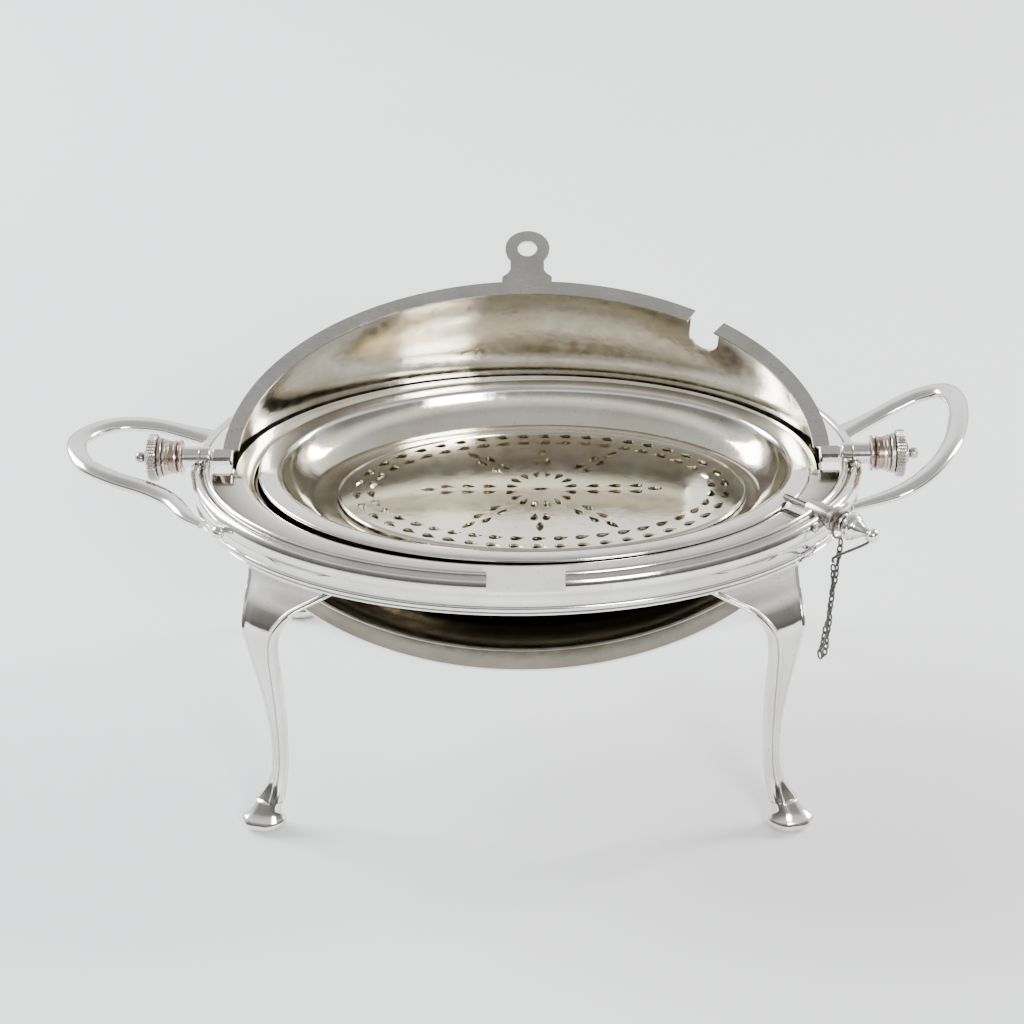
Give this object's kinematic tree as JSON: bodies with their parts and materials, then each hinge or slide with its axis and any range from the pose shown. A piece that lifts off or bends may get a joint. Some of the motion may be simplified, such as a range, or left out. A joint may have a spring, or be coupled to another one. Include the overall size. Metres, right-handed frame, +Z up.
{
  "type": "roll top chafer",
  "caption": "Oval silver-plated breakfast dish on cabriole legs with a revolving half-dome lid, liner, pierced drainer and loop handles.",
  "frame": {"origin": "on the floor under the middle of the dish, on the vertical through the lid's axis", "axes": "+X along the lid's axis to the right, +Y to the back, +Z up; the pin and chain are at the right front"},
  "size_m": [0.3905, 0.2111, 0.1918],
  "materials": {
    "silver_plate": "polished silver plate with light wear",
    "worn_brass": "worn plate showing brass",
    "tinned_copper": "dull tinned inside",
    "dark_steel": "darkened iron wire"
  },
  "bodies": {
    "chafer_base": {"frame_rim": "silver_plate", "water_pan": "tinned_copper", "liner_dish": "silver_plate", "drainer_plate": "silver_plate", "bearing_collar_left": "worn_brass", "bearing_collar_right": "worn_brass", "pin_bush": "worn_brass", "chain_ring": "dark_steel", "safety_chain": "dark_steel", "handle_left": "silver_plate", "handle_right": "silver_plate", "handle_bead_left": "silver_plate", "handle_bead_right": "silver_plate", "leg_front_left": "silver_plate", "leg_front_right": "silver_plate", "leg_back_left": "silver_plate", "leg_back_right": "silver_plate", "foot_front_left": "silver_plate", "foot_front_right": "silver_plate", "foot_back_left": "silver_plate", "foot_back_right": "silver_plate"},
    "rolling_lid": {"lid_dome": "silver_plate", "lid_flange_and_tab": "silver_plate", "lid_flange_right": "silver_plate", "lid_back_moulding": "silver_plate", "lid_end_block_left": "silver_plate", "lid_end_block_right": "silver_plate", "lid_spindle_left": "worn_brass", "lid_spindle_right": "worn_brass"},
    "left_nut": {"knurled_nut_left": "silver_plate", "finial_left": "silver_plate"},
    "right_nut": {"knurled_nut_right": "silver_plate", "finial_right": "silver_plate"},
    "pin": {"pin_rod": "dark_steel", "chain_hook": "dark_steel"},
    "pin_handle": {"pin_knob": "silver_plate"}
  },
  "joints": [
    {"name": "lid_roll", "type": "hinge", "parent": "chafer_base", "child": "rolling_lid", "pos_m": [0, 0, 0.134], "axis": [-1, 0, 0], "range_deg": [-151.6, 11.4]},
    {"name": "left_nut_turn", "type": "hinge", "parent": "chafer_base", "child": "left_nut", "pos_m": [-0.1585, 0, 0.134], "axis": [-1, 0, 0], "continuous": true},
    {"name": "right_nut_turn", "type": "hinge", "parent": "chafer_base", "child": "right_nut", "pos_m": [0.1585, 0, 0.134], "axis": [1, 0, 0], "continuous": true},
    {"name": "pin_slide", "type": "slide", "parent": "chafer_base", "child": "pin", "axis": [0.718, -0.696, 0], "range_m": [0, 0.027]},
    {"name": "pin_knob_turn", "type": "hinge", "parent": "pin", "child": "pin_handle", "pos_m": [0.1083, -0.033, 0.132], "axis": [0.718, -0.696, 0], "continuous": true}
  ]
}
